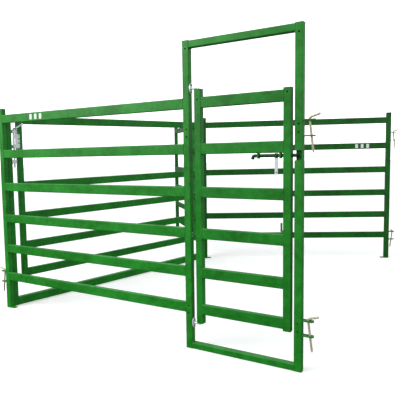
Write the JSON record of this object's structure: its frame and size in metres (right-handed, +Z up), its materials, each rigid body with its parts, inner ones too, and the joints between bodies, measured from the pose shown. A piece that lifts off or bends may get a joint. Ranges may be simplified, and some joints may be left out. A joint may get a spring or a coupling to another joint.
{
  "type": "livestock panel gate",
  "caption": "Corner of a cattle handling pen: six-rail steel panels pinned at the posts, a tall portal with a hinged walk gate, and a framed swing gate.",
  "frame": {"origin": "middle of the pen's plan box, on the ground", "axes": "+Z up; +X along the walk-through panel, from its end post to the portal; -Y is the side the walk gate opens to"},
  "size_m": [3.375, 4.1964, 2.192],
  "materials": {
    "green_front": "satin powder coat",
    "green_gate": "satin powder coat",
    "green_rear": "satin powder coat",
    "zinc": "bright zinc plate",
    "pin_steel": "dull galvanised"
  },
  "bodies": {
    "pen": {"walk_panel_end_post": "green_front", "walk_panel_rail_1": "green_front", "walk_panel_rail_2": "green_front", "walk_panel_rail_3": "green_front", "walk_panel_rail_4": "green_front", "walk_panel_rail_5": "green_front", "walk_panel_rail_6": "green_front", "portal_hinge_post": "green_front", "portal_latch_post": "green_front", "portal_header": "green_front", "portal_sill": "green_front", "walk_gate_upper_gudgeon": "zinc", "walk_gate_lower_gudgeon": "zinc", "swing_frame_front_post": "green_rear", "swing_frame_back_post": "green_rear", "swing_frame_sill": "green_rear", "swing_gate_upper_gudgeon": "zinc", "swing_gate_lower_gudgeon": "zinc", "swing_gate_latch_keeper": "zinc", "rear_panel_left_post": "green_rear", "rear_panel_right_post": "green_rear", "rear_panel_rail_1": "green_rear", "rear_panel_rail_2": "green_rear", "rear_panel_rail_3": "green_rear", "rear_panel_rail_4": "green_rear", "rear_panel_rail_5": "green_rear", "rear_panel_rail_6": "green_rear", "far_panel_left_post": "green_rear", "far_panel_right_post": "green_rear", "far_panel_rail_1": "green_rear", "far_panel_rail_2": "green_rear", "far_panel_rail_3": "green_rear", "far_panel_rail_4": "green_rear", "far_panel_rail_5": "green_rear", "far_panel_rail_6": "green_rear"},
    "walk_gate": {"walk_gate_hinge_stile": "green_gate", "walk_gate_latch_stile": "green_gate", "walk_gate_rail_1": "green_gate", "walk_gate_rail_2": "green_gate", "walk_gate_rail_3": "green_gate", "walk_gate_rail_4": "green_gate", "walk_gate_rail_5": "green_gate", "walk_gate_rail_6": "green_gate"},
    "slide_bolt": {"walk_gate_slide_bolt": "green_gate"},
    "bolt_handle": {"walk_gate_bolt_handle": "zinc"},
    "swing_gate": {"swing_gate_latch_stile": "green_rear", "swing_gate_hinge_stile": "green_rear", "swing_gate_rail_1": "green_rear", "swing_gate_rail_2": "green_rear", "swing_gate_rail_3": "green_rear", "swing_gate_rail_4": "green_rear", "swing_gate_rail_5": "green_rear", "swing_gate_rail_6": "green_rear", "swing_gate_latch_guides": "zinc"},
    "latch_pin": {"swing_gate_latch_pin": "zinc"},
    "portal_upper_pin": {"portal_upper_pin": "pin_steel"},
    "portal_lower_pin": {"portal_lower_pin": "pin_steel"},
    "corner_lower_pin": {"corner_lower_pin": "pin_steel"},
    "rear_upper_pin": {"rear_upper_pin": "pin_steel"},
    "rear_lower_pin": {"rear_lower_pin": "pin_steel"}
  },
  "joints": [
    {"name": "walk_gate_hinge", "type": "hinge", "parent": "pen", "child": "walk_gate", "pos_m": [0.86707, -2.07315, 1], "axis": [0, 0, 1], "range_deg": [-130, 0]},
    {"name": "slide_bolt_draw", "type": "slide", "parent": "walk_gate", "child": "slide_bolt", "axis": [-1, 0, 0], "range_m": [0, 0.045]},
    {"name": "bolt_handle_swing", "type": "hinge", "parent": "slide_bolt", "child": "bolt_handle", "pos_m": [1.41407, -2.07315, 1.39], "axis": [1, 0, 0], "range_deg": [-75, 75]},
    {"name": "swing_gate_hinge", "type": "hinge", "parent": "pen", "child": "swing_gate", "pos_m": [-0.5528, 0.59484, 0.9], "axis": [0, 0, 1], "range_deg": [-95, 0]},
    {"name": "latch_pin_lift", "type": "slide", "parent": "swing_gate", "child": "latch_pin", "axis": [0, 0, 1], "range_m": [0, 0.12]},
    {"name": "portal_upper_pin_draw", "type": "slide", "parent": "pen", "child": "portal_upper_pin", "axis": [-0.1219, 0, 0.9925], "range_m": [0, 0.2]},
    {"name": "portal_lower_pin_draw", "type": "slide", "parent": "pen", "child": "portal_lower_pin", "axis": [-0.1219, 0, 0.9925], "range_m": [0, 0.2]},
    {"name": "corner_lower_pin_draw", "type": "slide", "parent": "pen", "child": "corner_lower_pin", "axis": [0.1219, 0, 0.9925], "range_m": [0, 0.2]},
    {"name": "rear_upper_pin_draw", "type": "slide", "parent": "pen", "child": "rear_upper_pin", "axis": [-0.1073, -0.0578, 0.9925], "range_m": [0, 0.2]},
    {"name": "rear_lower_pin_draw", "type": "slide", "parent": "pen", "child": "rear_lower_pin", "axis": [0.1073, 0.0578, 0.9925], "range_m": [0, 0.2]}
  ]
}
